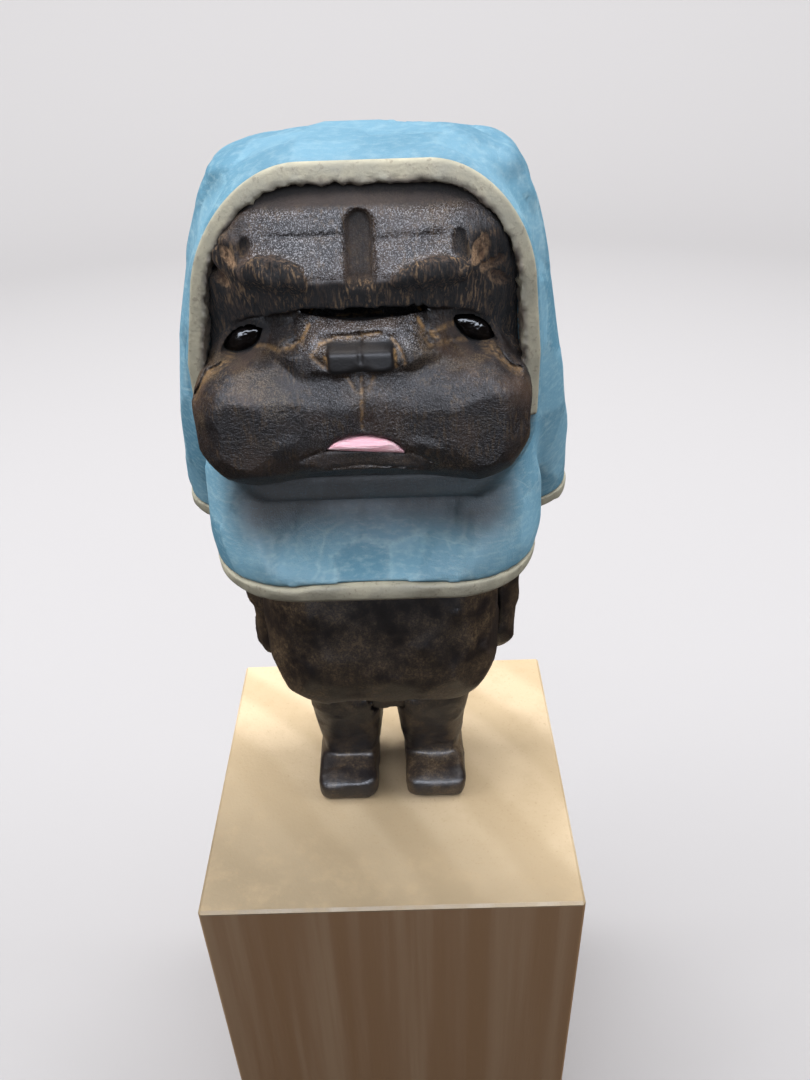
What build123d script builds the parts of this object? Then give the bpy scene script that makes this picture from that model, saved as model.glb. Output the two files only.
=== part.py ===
"""Carved wooden bulldog figure in a hooded cape, pinned to a square timber pedestal.

Row frame: +Z up, the figure faces -Y, origin at the centre of the pedestal's underside. Millimetres.
"""

import os

from build123d import *

os.makedirs("parts", exist_ok=True)

# Pedestal
BLOCK_WIDTH = 55.0
BLOCK_DEPTH = 52.0
BLOCK_HEIGHT = 80.0
BLOCK_CHAMFER = 0.4

# Pins and dowels
FOOT_PIN_RADIUS = 1.0
FOOT_PIN_CLEARANCE = 0.06
FOOT_PIN_IN_BLOCK = 8.0
FOOT_PIN_IN_LEG = 9.0
PIN_HOLE_SPARE = 1.0
PIN_POINT = 0.3
HIP_DOWEL_RADIUS = 1.5
HIP_DOWEL_LENGTH = 12.0
SHOULDER_DOWEL_RADIUS = 1.25
SHOULDER_DOWEL_LENGTH = 9.0
NECK_DOWEL_RADIUS = 2.5
NECK_DOWEL_LENGTH = 18.0

# Legs: heights are above the pedestal's top face
LEG_OFFSET = 7.0
FOOT_WIDTH = 9.0
FOOT_FRONT = -6.9
FOOT_BACK = 6.5
FOOT_HEIGHT = 5.2
FOOT_FILLET = 1.6
LEG_TOP = 24.0
HIP_JOINT_HEIGHT = 20.0

# Torso and neck
NECK_RADIUS = 7.0
NECK_TOP = 67.5
NECK_CENTRE_Y = -5.0
TORSO_TOP = 63.0

# Arms
ARM_OFFSET = 16.3
ARM_LENGTH = 33.5
ARM_TIP_HEIGHT = 25.8
ARM_WIDTH = 5.8
ARM_DEPTH = 9.0
ARM_CENTRE_Y = 1.0
SHOULDER_JOINT_HEIGHT = 52.0

# Head
MUZZLE_WIDTH = 33.4
MUZZLE_HEIGHT = 14.6
MUZZLE_BOTTOM = 67.5
MUZZLE_FRONT = -24.6
MUZZLE_BACK = -11.0
MUZZLE_CORNER = 6.6
MUZZLE_FILLET = 4.6
NOSE_WIDTH = 8.4
NOSE_FRONT = -25.6
NOSE_BOTTOM = 79.6
NOSE_TOP = 84.4
EYE_RADIUS = 2.1
EYE_OFFSET = 11.2
EYE_HEIGHT = 82.5
EYE_CENTRE_Y = -17.4
TONGUE_WIDTH = 7.6
TONGUE_HEIGHT = 1.9
TONGUE_DEPTH = 7.0
TONGUE_BOTTOM = 72.2
TONGUE_FRONT = -25.2

# Cape
HEM_BOTTOM = 52.8
HEM_TOP = 55.2
TRIM_WIDTH = 33.0
TRIM_TOP = 98.0
TRIM_BOTTOM = 73.5
TRIM_BAND = 2.0
TRIM_CORNER = 10.5
TRIM_FRONT = -21.0
HOOD_FRONT = -18.0
BRIM_FRONT = -18.6

# Ribs of the lofted bodies: height above the pedestal, width, front y, back y, corner radius
TORSO_RIBS = [
    (17.0, 21.0, -6.0, 7.0, 5.0),
    (20.0, 26.0, -9.6, 9.2, 8.0),
    (25.0, 29.4, -12.4, 10.6, 9.5),
    (31.0, 31.0, -13.6, 11.2, 10.0),
    (39.0, 31.4, -13.8, 11.4, 10.0),
    (48.0, 30.8, -13.0, 11.0, 10.0),
    (57.0, 28.0, -11.6, 9.6, 9.0),
    (TORSO_TOP, 20.0, -10.0, 5.0, 7.0),
]
SKULL_RIBS = [
    (MUZZLE_BOTTOM, 24.0, -18.0, 2.0, 8.0),
    (74.0, 29.6, -19.4, 5.6, 9.5),
    (83.0, 30.6, -20.8, 7.6, 10.0),
    (90.0, 29.0, -22.0, 6.6, 9.5),
    (96.2, 22.0, -20.2, 1.6, 8.0),
]
HOOD_RIBS = [
    (HEM_BOTTOM, 48.0, -10.0, 18.0, 9.0),
    (60.0, 46.8, -14.0, 16.8, 10.0),
    (68.0, 45.0, -17.6, 15.0, 11.0),
    (81.0, 40.0, HOOD_FRONT, 13.4, 12.0),
    (92.0, 33.4, HOOD_FRONT, 10.0, 11.0),
    (97.0, 27.0, -16.6, 4.4, 9.0),
    (99.0, 20.0, -14.0, -1.0, 6.0),
]
BIB_RIBS = [
    (HEM_BOTTOM, 36.0, -24.2, -2.0, 7.0),
    (58.0, 37.6, -22.4, -2.0, 7.0),
    (64.0, 36.8, -18.4, -2.0, 7.0),
    (72.0, 35.0, -17.0, -2.0, 7.0),
]
BACK_CAVITY_RIBS = [
    (HEM_BOTTOM - 1.0, 43.2, -7.2, 15.4, 6.4),
    (57.0, 40.0, -8.0, 13.2, 6.4),
    (60.5, 34.0, -9.0, 10.0, 6.4),
]
BIB_CAVITY_RIBS = [
    (HEM_BOTTOM - 1.0, 31.2, -21.6, 4.0, 5.0),
    (57.0, 30.4, -18.6, 4.0, 5.0),
    (60.5, 27.0, -13.6, 4.0, 5.0),
]
# Brim ribs: y, width, top height, bottom height, corner radius
BRIM_RIBS = [
    (BRIM_FRONT, 33.8, 98.0, 64.0, 11.0),
    (-13.0, 36.4, 98.8, 64.0, 12.0),
    (-7.0, 38.4, 99.0, 64.0, 13.0),
]


def above(height):
    """Row-frame z of a height given above the pedestal's top face."""
    return BLOCK_HEIGHT + height


def rib_faces(ribs):
    """Level rounded-rectangle sections for loft(), from the lowest to the highest."""
    faces = []
    for height, width, front, back, corner in ribs:
        with BuildSketch(Plane.XY.offset(above(height))) as rib:
            with Locations((0, (front + back) / 2)):
                RectangleRounded(width, back - front, corner)
        faces.append(rib.sketch.face())
    return faces


def upright_rib_faces(ribs):
    """Upright rounded-rectangle sections facing -Y for loft(), from front to back."""
    faces = []
    for y, width, top, bottom, corner in ribs:
        with BuildSketch(Plane.XZ.offset(-y)) as rib:
            with Locations((0, above((top + bottom) / 2))):
                RectangleRounded(width, top - bottom, corner)
        faces.append(rib.sketch.face())
    return faces


def save(piece, name):
    """Labels a finished sub-part and writes its STEP file."""
    piece.label = name
    export_step(piece, f"parts/{name}.step")


SIDES = {"left": -1, "right": 1}

# Pedestal: a sawn timber block with a blind hole for each foot pin
with BuildPart() as pedestal_block:
    Box(
        BLOCK_WIDTH,
        BLOCK_DEPTH,
        BLOCK_HEIGHT,
        align=(Align.CENTER, Align.CENTER, Align.MIN),
    )
    chamfer(pedestal_block.edges(), length=BLOCK_CHAMFER)
    with Locations(
        (-LEG_OFFSET, 0, BLOCK_HEIGHT),
        (LEG_OFFSET, 0, BLOCK_HEIGHT),
    ):
        Hole(
            radius=FOOT_PIN_RADIUS + FOOT_PIN_CLEARANCE,
            depth=FOOT_PIN_IN_BLOCK + PIN_HOLE_SPARE,
        )
save(pedestal_block.part, "pedestal_block")

# Torso: a sack-shaped belly that narrows to the shoulders, with the neck on top
with BuildPart() as torso_blank:
    loft(rib_faces(TORSO_RIBS))
    with Locations((0, NECK_CENTRE_Y, above(TORSO_TOP - 2))):
        Cylinder(
            NECK_RADIUS,
            NECK_TOP - TORSO_TOP + 2,
            align=(Align.CENTER, Align.CENTER, Align.MIN),
        )

# Dowels and pins, as plain cylinders shared by the pieces that they join
with BuildPart() as neck_dowel:
    with Locations((0, NECK_CENTRE_Y, above(NECK_TOP))):
        Cylinder(NECK_DOWEL_RADIUS, NECK_DOWEL_LENGTH)
    chamfer(neck_dowel.edges().filter_by(GeomType.CIRCLE), length=PIN_POINT)
save(neck_dowel.part, "neck_dowel")

foot_pins, hip_dowels, shoulder_dowels = {}, {}, {}
for side, sign in SIDES.items():
    with BuildPart() as foot_pin:
        with Locations((sign * LEG_OFFSET, 0, above(-FOOT_PIN_IN_BLOCK))):
            Cylinder(
                FOOT_PIN_RADIUS,
                FOOT_PIN_IN_BLOCK + FOOT_PIN_IN_LEG,
                align=(Align.CENTER, Align.CENTER, Align.MIN),
            )
        chamfer(foot_pin.edges().filter_by(GeomType.CIRCLE), length=PIN_POINT)
    foot_pins[side] = foot_pin.part
    save(foot_pin.part, f"{side}_foot_pin")

    with BuildPart() as hip_dowel:
        with Locations((sign * LEG_OFFSET, -1, above(HIP_JOINT_HEIGHT))):
            Cylinder(HIP_DOWEL_RADIUS, HIP_DOWEL_LENGTH)
        chamfer(hip_dowel.edges().filter_by(GeomType.CIRCLE), length=PIN_POINT)
    hip_dowels[side] = hip_dowel.part
    save(hip_dowel.part, f"{side}_hip_dowel")

    with BuildPart() as shoulder_dowel:
        with Locations((sign * (ARM_OFFSET - 2), ARM_CENTRE_Y, above(SHOULDER_JOINT_HEIGHT))):
            Cylinder(
                SHOULDER_DOWEL_RADIUS, SHOULDER_DOWEL_LENGTH, rotation=(0, 90, 0)
            )
        chamfer(shoulder_dowel.edges().filter_by(GeomType.CIRCLE), length=PIN_POINT)
    shoulder_dowels[side] = shoulder_dowel.part
    save(shoulder_dowel.part, f"{side}_shoulder_dowel")

# Legs: a squared foot under a shank that widens into the hip
for side, sign in SIDES.items():
    with BuildPart() as leg:
        with Locations(
            (sign * LEG_OFFSET, (FOOT_FRONT + FOOT_BACK) / 2, above(0)),
        ):
            Box(
                FOOT_WIDTH,
                FOOT_BACK - FOOT_FRONT,
                FOOT_HEIGHT,
                align=(Align.CENTER, Align.CENTER, Align.MIN),
            )
        fillet(leg.edges().group_by(Axis.Z)[-1] + leg.edges().filter_by(Axis.Z), FOOT_FILLET)
        with BuildSketch(Plane.XY.offset(above(2))):
            with Locations((sign * LEG_OFFSET, 2.0)):
                RectangleRounded(7.6, 7.4, 2.6)
        with BuildSketch(Plane.XY.offset(above(10))):
            with Locations((sign * (LEG_OFFSET - 0.2), 1.0)):
                RectangleRounded(8.2, 9.2, 3.0)
        with BuildSketch(Plane.XY.offset(above(LEG_TOP))):
            with Locations((sign * (LEG_OFFSET + 0.2), -0.6)):
                RectangleRounded(12.0, 14.0, 4.0)
        loft()
        add(torso_blank.part, mode=Mode.SUBTRACT)
        add(foot_pins[side], mode=Mode.SUBTRACT)
        add(hip_dowels[side], mode=Mode.SUBTRACT)
    save(leg.part, f"{side}_leg")

# Arms: flat hanging limbs let into the flanks
arms = {}
for side, sign in SIDES.items():
    with BuildPart() as arm:
        with BuildSketch(Plane.YZ.offset(sign * ARM_OFFSET - ARM_WIDTH / 2)):
            with Locations((ARM_CENTRE_Y, above(ARM_TIP_HEIGHT + ARM_LENGTH / 2))):
                RectangleRounded(ARM_DEPTH, ARM_LENGTH, 4.2)
        extrude(amount=ARM_WIDTH)
        fillet(arm.faces().sort_by(Axis.X)[-1 if sign > 0 else 0].edges(), 2.2)
        add(torso_blank.part, mode=Mode.SUBTRACT)
        add(shoulder_dowels[side], mode=Mode.SUBTRACT)
    arms[side] = arm.part
    save(arm.part, f"{side}_arm")

with BuildPart() as torso:
    add(torso_blank.part)
    add(neck_dowel.part, mode=Mode.SUBTRACT)
    for side in SIDES:
        add(hip_dowels[side], mode=Mode.SUBTRACT)
        add(shoulder_dowels[side], mode=Mode.SUBTRACT)
save(torso.part, "torso")

# Head: skull, muzzle and nose bridge as one carving, with eye sockets and a tongue slot
with BuildPart() as tongue:
    with BuildSketch(Plane.XZ.offset(-(TONGUE_FRONT + TONGUE_DEPTH))):
        with Locations((0, above(TONGUE_BOTTOM + TONGUE_HEIGHT / 2))):
            RectangleRounded(TONGUE_WIDTH, TONGUE_HEIGHT, TONGUE_HEIGHT / 2 - 0.1)
    extrude(amount=TONGUE_DEPTH)
    fillet(tongue.faces().sort_by(Axis.Y)[0].edges(), 0.4)
save(tongue.part, "tongue")

# Eyes: beads turned so that each sphere's seam lies inside the head
eyes = {}
for side, sign in SIDES.items():
    with BuildPart() as eye:
        with Locations((sign * EYE_OFFSET, EYE_CENTRE_Y, above(EYE_HEIGHT))):
            Sphere(EYE_RADIUS, rotation=(0, 0, 90 + sign * 90))
    eyes[side] = eye.part
    save(eye.part, f"{side}_eye")

with BuildPart() as head_blank:
    loft(rib_faces(SKULL_RIBS))

with BuildPart() as muzzle_blank:
    with BuildSketch(Plane.XZ.offset(-MUZZLE_BACK)):
        with Locations((0, above(MUZZLE_BOTTOM + MUZZLE_HEIGHT / 2))):
            RectangleRounded(MUZZLE_WIDTH, MUZZLE_HEIGHT, MUZZLE_CORNER)
    extrude(amount=MUZZLE_BACK - MUZZLE_FRONT)
    fillet(muzzle_blank.faces().sort_by(Axis.Y)[0].edges(), MUZZLE_FILLET)

with BuildPart() as head_solid:
    add(head_blank.part)
    add(muzzle_blank.part)
    with BuildSketch(Plane.XZ.offset(-MUZZLE_BACK)):
        with Locations((0, above((NOSE_BOTTOM + NOSE_TOP) / 2))):
            RectangleRounded(NOSE_WIDTH, NOSE_TOP - NOSE_BOTTOM, 1.2)
    extrude(amount=MUZZLE_BACK - NOSE_FRONT)

with BuildPart() as head:
    add(head_solid.part)
    add(tongue.part, mode=Mode.SUBTRACT)
    add(neck_dowel.part, mode=Mode.SUBTRACT)
    for side in SIDES:
        add(eyes[side], mode=Mode.SUBTRACT)
save(head.part, "head")

# Hooded cape: outer hood and bib, hollowed for the head, the torso and the arms
with BuildPart() as bib:
    loft(rib_faces(BIB_RIBS))

with BuildPart() as brim:
    loft(upright_rib_faces(BRIM_RIBS))

with BuildPart() as body_cavity:
    loft(rib_faces(BACK_CAVITY_RIBS))

with BuildPart() as bib_cavity:
    loft(rib_faces(BIB_CAVITY_RIBS))

with BuildPart() as cape_blank:
    loft(rib_faces(HOOD_RIBS))
    add(bib.part)
    add(brim.part)
    add(body_cavity.part, mode=Mode.SUBTRACT)
    add(bib_cavity.part, mode=Mode.SUBTRACT)
    add(torso_blank.part, mode=Mode.SUBTRACT)
    add(head_solid.part, mode=Mode.SUBTRACT)
    for side in SIDES:
        add(arms[side], mode=Mode.SUBTRACT)
        add(shoulder_dowels[side], mode=Mode.SUBTRACT)
        add(eyes[side], mode=Mode.SUBTRACT)
    add(neck_dowel.part, mode=Mode.SUBTRACT)

# Face trim: an arched band around the face opening
with BuildPart() as face_trim:
    with BuildSketch(Plane.XZ.offset(-BRIM_FRONT)):
        with Locations((0, above(TRIM_TOP - 17))):
            RectangleRounded(TRIM_WIDTH, 34, TRIM_CORNER)
            RectangleRounded(
                TRIM_WIDTH - 2 * TRIM_BAND,
                34 - 2 * TRIM_BAND,
                TRIM_CORNER - TRIM_BAND,
                mode=Mode.SUBTRACT,
            )
    extrude(amount=BRIM_FRONT - TRIM_FRONT)
    split(bisect_by=Plane.XY.offset(above(TRIM_BOTTOM)), keep=Keep.TOP)
    add(head_solid.part, mode=Mode.SUBTRACT)
save(face_trim.part, "face_trim")

with BuildPart() as hooded_cape:
    add(cape_blank.part)
    split(bisect_by=Plane.XY.offset(above(HEM_TOP)), keep=Keep.TOP)
    add(face_trim.part, mode=Mode.SUBTRACT)
save(hooded_cape.part, "hooded_cape")

with BuildPart() as hem_trim:
    add(cape_blank.part)
    split(bisect_by=Plane.XY.offset(above(HEM_TOP)), keep=Keep.BOTTOM)
save(hem_trim.part, "hem_trim")
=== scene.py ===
"""Looks of a carved wooden bulldog in a painted hooded cape, around its CAD frame.

The carved pieces are sculpted as distance fields and meshed here. Sculpting sections are in
millimetres, with z measured from the pedestal's top face, x to the viewer's right, and the face
towards -y.
"""

import math

import bpy
import numpy as np
from mathutils import Matrix, Vector


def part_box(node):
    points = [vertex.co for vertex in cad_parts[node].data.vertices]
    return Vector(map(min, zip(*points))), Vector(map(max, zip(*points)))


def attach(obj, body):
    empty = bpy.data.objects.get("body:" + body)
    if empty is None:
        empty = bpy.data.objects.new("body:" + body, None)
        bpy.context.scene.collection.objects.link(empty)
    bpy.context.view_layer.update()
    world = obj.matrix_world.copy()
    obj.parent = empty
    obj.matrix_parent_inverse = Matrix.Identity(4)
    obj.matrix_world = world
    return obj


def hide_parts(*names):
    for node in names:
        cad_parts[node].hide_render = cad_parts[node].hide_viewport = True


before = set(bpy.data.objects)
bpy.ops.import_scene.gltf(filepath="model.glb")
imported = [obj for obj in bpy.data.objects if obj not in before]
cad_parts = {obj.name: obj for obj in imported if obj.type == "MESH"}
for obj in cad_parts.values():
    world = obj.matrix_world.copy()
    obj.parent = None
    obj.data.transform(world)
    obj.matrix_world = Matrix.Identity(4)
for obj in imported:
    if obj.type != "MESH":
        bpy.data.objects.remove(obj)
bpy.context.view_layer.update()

MM = 0.001
PEDESTAL_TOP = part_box("pedestal_block")[1].z
COARSE = 1.0
FACE_STEP = 0.26 * COARSE
CAPE_STEP = 0.36 * COARSE
BODY_STEP = 0.40 * COARSE
SMALL_STEP = 0.14 * COARSE


# Camera and studio

CAMERA_PLACE = Vector((4.4, -102.9, 194.1)) * MM
CAMERA_PITCH = math.radians(33.86)
CAMERA_YAW = math.radians(-0.51)
CAMERA_ROLL = math.radians(-1.99)
CAMERA_LENS = 30.12


def make_camera():
    """A phone held close, above the face and looking down at it."""
    level = Vector((math.sin(CAMERA_YAW), math.cos(CAMERA_YAW), 0))
    forward = level * math.cos(CAMERA_PITCH) - Vector((0, 0, math.sin(CAMERA_PITCH)))
    right = forward.cross(Vector((0, 0, 1))).normalized()
    up = right.cross(forward)
    tilt = Matrix.Rotation(-CAMERA_ROLL, 3, forward)
    right, up = tilt @ right, tilt @ up
    data = bpy.data.cameras.new("camera")
    data.lens = CAMERA_LENS
    data.sensor_width = 36
    data.clip_start = 0.01
    camera = bpy.data.objects.new("camera", data)
    camera.matrix_world = Matrix.Translation(CAMERA_PLACE) @ Matrix(
        (right, up, -forward)
    ).transposed().to_4x4()
    bpy.context.scene.collection.objects.link(camera)
    bpy.context.scene.camera = camera


def make_softbox(name, place, target, size, watts, colour, matte=True, gloss=True):
    """An area light aimed at a point, lighting matte surfaces, glossy reflections or both."""
    data = bpy.data.lights.new(name, "AREA")
    data.shape = "RECTANGLE"
    data.size, data.size_y = size
    data.energy = watts
    data.color = colour
    light = bpy.data.objects.new(name, data)
    light.location = place
    light.rotation_euler = (Vector(target) - Vector(place)).to_track_quat("-Z", "Y").to_euler()
    light.visible_diffuse = matte
    light.visible_glossy = gloss
    bpy.context.scene.collection.objects.link(light)


def make_studio():
    """A soft lamp overhead, fill from both sides, cool strips for gloss and a backdrop wash."""
    chest, crown = (0, 0, 0.14), (0, 0, 0.17)
    overhead, ahead = (-0.10, -0.20, 1.05), (0.02, -0.43, 0.37)
    warm, cool, neutral = (1.0, 0.97, 0.94), (0.80, 0.87, 1.0), (0.97, 0.97, 1.0)
    make_softbox("lamp", overhead, chest, (0.8, 0.8), 9.4, warm, gloss=False)
    make_softbox("lamp_gloss", overhead, chest, (0.8, 0.8), 11.0, cool, matte=False)
    make_softbox("strip_gloss", ahead, crown, (0.6, 0.22), 8.0, cool, matte=False)
    for name, side in (("fill_left", -0.55), ("fill_right", 0.55)):
        make_softbox(name, (side, -0.10, 0.40), chest, (0.4, 0.4), 2.8, neutral, gloss=False)
    wall = (0, 0.95, 0.30)
    make_softbox("backdrop", (0, 0.16, 0.9), wall, (1.0, 0.3), 19.5, (1.0, 0.98, 0.97))
    world = bpy.data.worlds.new("room")
    world.use_nodes = True
    background = world.node_tree.nodes["Background"]
    background.inputs["Color"].default_value = (1.0, 0.76, 0.56, 1)
    background.inputs["Strength"].default_value = 0.07
    bpy.context.scene.world = world
    bpy.context.scene.view_settings.view_transform = "Standard"


def stage_piece(name, profile, colour):
    """A round stage surface swept from (radius, height) points, sending no light to the figure."""
    around = 96
    points, faces = [], []
    for ring, (radius, height) in enumerate(profile):
        for i in range(around):
            angle = 2 * math.pi * i / around
            points.append((radius * math.cos(angle), radius * math.sin(angle), height))
            if ring:
                here, beside = ring * around + i, ring * around + (i + 1) % around
                faces.append((here - around, here, beside, beside - around))
    mesh = bpy.data.meshes.new(name)
    mesh.from_pydata(points, [], faces)
    mesh.shade_smooth()
    stage = bpy.data.objects.new(name, mesh)
    bpy.context.scene.collection.objects.link(stage)
    material = bpy.data.materials.new(name)
    material.use_nodes = True
    shader = material.node_tree.nodes["Principled BSDF"]
    shader.inputs["Base Color"].default_value = (*colour, 1)
    shader.inputs["Roughness"].default_value = 0.8
    mesh.materials.append(material)
    stage.visible_diffuse = False
    stage.visible_glossy = False


def make_stage():
    """A pale table curving up into a wall."""
    table, bend = 0.60, 0.35
    profile = [(0.0005, 0.0), (table, 0.0)]
    for i in range(1, 13):
        turn = i / 12 * math.pi / 2
        profile.append((table + bend * math.sin(turn), bend * (1 - math.cos(turn))))
    profile.append((table + bend, 1.0))
    stage_piece("floor", profile, (0.335, 0.335, 0.347))


# Distance-field shapes: a point set p is (x, y, z), arrays that broadcast together


def smooth_min(a, b, k):
    h = np.clip(0.5 + 0.5 * (b - a) / k, 0, 1)
    return b + (a - b) * h - k * h * (1 - h)


def smooth_max(a, b, k):
    return -smooth_min(-a, -b, k)


def smooth_step(low, high, value):
    t = np.clip((value - low) / (high - low), 0, 1)
    return t * t * (3 - 2 * t)


def curve(t, knots, values):
    """Smooth curve through (knot, value) points, level beyond its ends."""
    knots, values = np.asarray(knots, float), np.asarray(values, float)
    slopes = np.gradient(values, knots)
    t = np.clip(t, knots[0], knots[-1])
    i = np.clip(np.searchsorted(knots, t, side="right") - 1, 0, len(knots) - 2)
    width = knots[i + 1] - knots[i]
    u = (t - knots[i]) / width
    rise = values[i] * (1 - u) ** 2 * (1 + 2 * u) + values[i + 1] * u**2 * (3 - 2 * u)
    bend = slopes[i] * u * (1 - u) ** 2 - slopes[i + 1] * u**2 * (1 - u)
    return rise + width * bend


def rounded_rectangle(u, v, half_u, half_v, corner):
    a = np.abs(u) - half_u + corner
    b = np.abs(v) - half_v + corner
    outside = np.sqrt(np.maximum(a, 0) ** 2 + np.maximum(b, 0) ** 2)
    return outside + np.minimum(np.maximum(a, b), 0) - corner


def rounded_box(p, centre, half, corner):
    a, b, c = (np.abs(v - m) - h + corner for v, m, h in zip(p, centre, half))
    outside = np.sqrt(np.maximum(a, 0) ** 2 + np.maximum(b, 0) ** 2 + np.maximum(c, 0) ** 2)
    return outside + np.minimum(np.maximum(np.maximum(a, b), c), 0) - corner


def ellipsoid(p, centre, radii):
    near = sum(((v - m) / r) ** 2 for v, m, r in zip(p, centre, radii))
    slope = sum(((v - m) / r**2) ** 2 for v, m, r in zip(p, centre, radii))
    return np.sqrt(near) * (np.sqrt(near) - 1) / np.sqrt(np.maximum(slope, 1e-9))


def upright_cylinder(p, x, y, radius, low, high):
    return np.maximum(np.hypot(p[0] - x, p[1] - y) - radius, np.maximum(low - p[2], p[2] - high))


def lofted(p, ribs, cap):
    """Level rounded-rectangle sections: rows of (height, half width, front, back, corner)."""
    x, y, z = p
    heights, *columns = zip(*ribs)
    half, front, back, corner = (curve(z, heights, column) for column in columns)
    walls = rounded_rectangle(x, y - (front + back) / 2, half, (back - front) / 2, corner)
    return smooth_max(smooth_max(walls, heights[0] - z, cap), z - heights[-1], cap)


def stroke(u, v, points):
    """Distance in a plane to a line of straight runs."""
    nearest = np.inf
    for (u0, v0), (u1, v1) in zip(points, points[1:]):
        du, dv = u1 - u0, v1 - v0
        t = np.clip(((u - u0) * du + (v - v0) * dv) / (du * du + dv * dv), 0, 1)
        nearest = np.minimum(nearest, np.hypot(u - u0 - t * du, v - v0 - t * dv))
    return nearest


def scoop(u, v, start, end, half_width):
    """A spoon-shaped cut from start to end: 1 in its middle, 0 on its rim and outside."""
    middle = (np.array(start) + np.array(end)) / 2
    along = np.array(end) - np.array(start)
    half_length = np.hypot(*along) / 2
    along = along / (2 * half_length)
    a = ((u - middle[0]) * along[0] + (v - middle[1]) * along[1]) / half_length
    b = ((v - middle[1]) * along[0] - (u - middle[0]) * along[1]) / half_width
    return np.sqrt(np.clip(1 - a * a - b * b, 0, 1))


def noise(points, cells, seed):
    """Smooth noise from -1 to 1 at each row of points; cells is lattice cells per millimetre."""
    size = 64 if points.shape[1] == 2 else 24
    dimensions = points.shape[1]
    lattice = np.random.default_rng(seed).uniform(-1, 1, (size,) * dimensions)
    q = points * np.asarray(cells, float)
    cell = np.floor(q).astype(int)
    t = q - cell
    t = t * t * (3 - 2 * t)
    total = 0
    for corner in np.ndindex((2,) * dimensions):
        weight = np.prod(np.where(np.array(corner) == 1, t, 1 - t), axis=1)
        total = total + weight * lattice[tuple(((cell + corner) % size).T)]
    return total


def sample_axes(low, high, step):
    spans = [np.arange(a, b + step, step) for a, b in zip(low, high)]
    return spans[0][:, None, None], spans[1][None, :, None], spans[2][None, None, :]


def surface_nets(field, low, step):
    """Points and four-sided faces of the zero surface: a point per crossed cell."""
    crossings, tails, quads = [], [], []
    for axis in range(3):
        start = np.take(field, range(field.shape[axis] - 1), axis)
        end = np.take(field, range(1, field.shape[axis]), axis)
        edge = np.argwhere((start < 0) != (end < 0))
        value, next_value = start[tuple(edge.T)], end[tuple(edge.T)]
        point = edge.astype(float)
        point[:, axis] += value / (value - next_value)
        u, v = (axis + 1) % 3, (axis + 2) % 3
        around = []
        for back_u, back_v in ((0, 0), (1, 0), (1, 1), (0, 1)):
            cell = edge.copy()
            cell[:, u] -= back_u
            cell[:, v] -= back_v
            around.append(np.ravel_multi_index(cell.T, field.shape))
        around = np.stack(around, 1)
        quads.append(np.where((value < 0)[:, None], around, around[:, ::-1]))
        crossings.append(np.repeat(point, 4, 0))
        tails.append(around.reshape(-1))
    quads, crossings, tails = map(np.concatenate, (quads, crossings, tails))
    cells, place = np.unique(tails, return_inverse=True)
    count = np.bincount(place)
    points = np.stack([np.bincount(place, crossings[:, i]) / count for i in range(3)], 1)
    faces = np.searchsorted(cells, quads)
    return points * step + np.array(low), faces


def vertex_normals(points, faces):
    diagonals = np.cross(
        points[faces[:, 2]] - points[faces[:, 0]], points[faces[:, 3]] - points[faces[:, 1]]
    )
    normals = np.zeros_like(points)
    for column in range(4):
        for i in range(3):
            normals[:, i] += np.bincount(faces[:, column], diagonals[:, i], len(points))
    return normals / np.maximum(np.linalg.norm(normals, axis=1), 1e-9)[:, None]


def relaxed(points, faces, amount):
    """Points moved part of the way to the middle of their neighbours."""
    total = np.zeros_like(points)
    count = np.zeros(len(points))
    for a, b in ((0, 1), (1, 2), (2, 3), (3, 0)):
        for one, other in ((a, b), (b, a)):
            count += np.bincount(faces[:, one], minlength=len(points))
            for i in range(3):
                total[:, i] += np.bincount(
                    faces[:, one], points[faces[:, other], i], len(points)
                )
    return points + amount * (total / count[:, None] - points)


def main_piece(points, faces):
    """A mesh without the loose specks beside its largest piece."""
    label = np.arange(len(points))
    while True:
        nearby = label.copy()
        np.minimum.at(nearby, faces.ravel(), np.repeat(label[faces].min(axis=1), 4))
        nearby = nearby[nearby]
        if np.array_equal(nearby, label):
            break
        label = nearby
    kept = label == np.bincount(label).argmax()
    place = np.cumsum(kept) - 1
    return points[kept], place[faces[kept[faces[:, 0]]]]


def sculpt(form, low, high, step):
    """Meshes a field over a box: points in millimetres, and faces."""
    p = sample_axes(low, high, step)
    field = form(p) + np.zeros(np.broadcast_shapes(*(v.shape for v in p)))
    for axis in range(3):
        for end in (0, -1):
            field[tuple(end if i == axis else slice(None) for i in range(3))] = step
    points, faces = surface_nets(field, low, step)
    return main_piece(relaxed(points, faces, 0.5), faces)


def spread_seeds(points, spacing, seed):
    """Indices of points at least about a spacing apart."""
    order = np.random.default_rng(seed).permutation(len(points))[:7000]
    kept = np.empty((0, 3))
    chosen = []
    for i in order:
        if len(kept) == 0 or np.min(np.sum((kept - points[i]) ** 2, 1)) > spacing**2:
            kept = np.vstack((kept, points[i]))
            chosen.append(i)
    return np.array(chosen)


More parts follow.
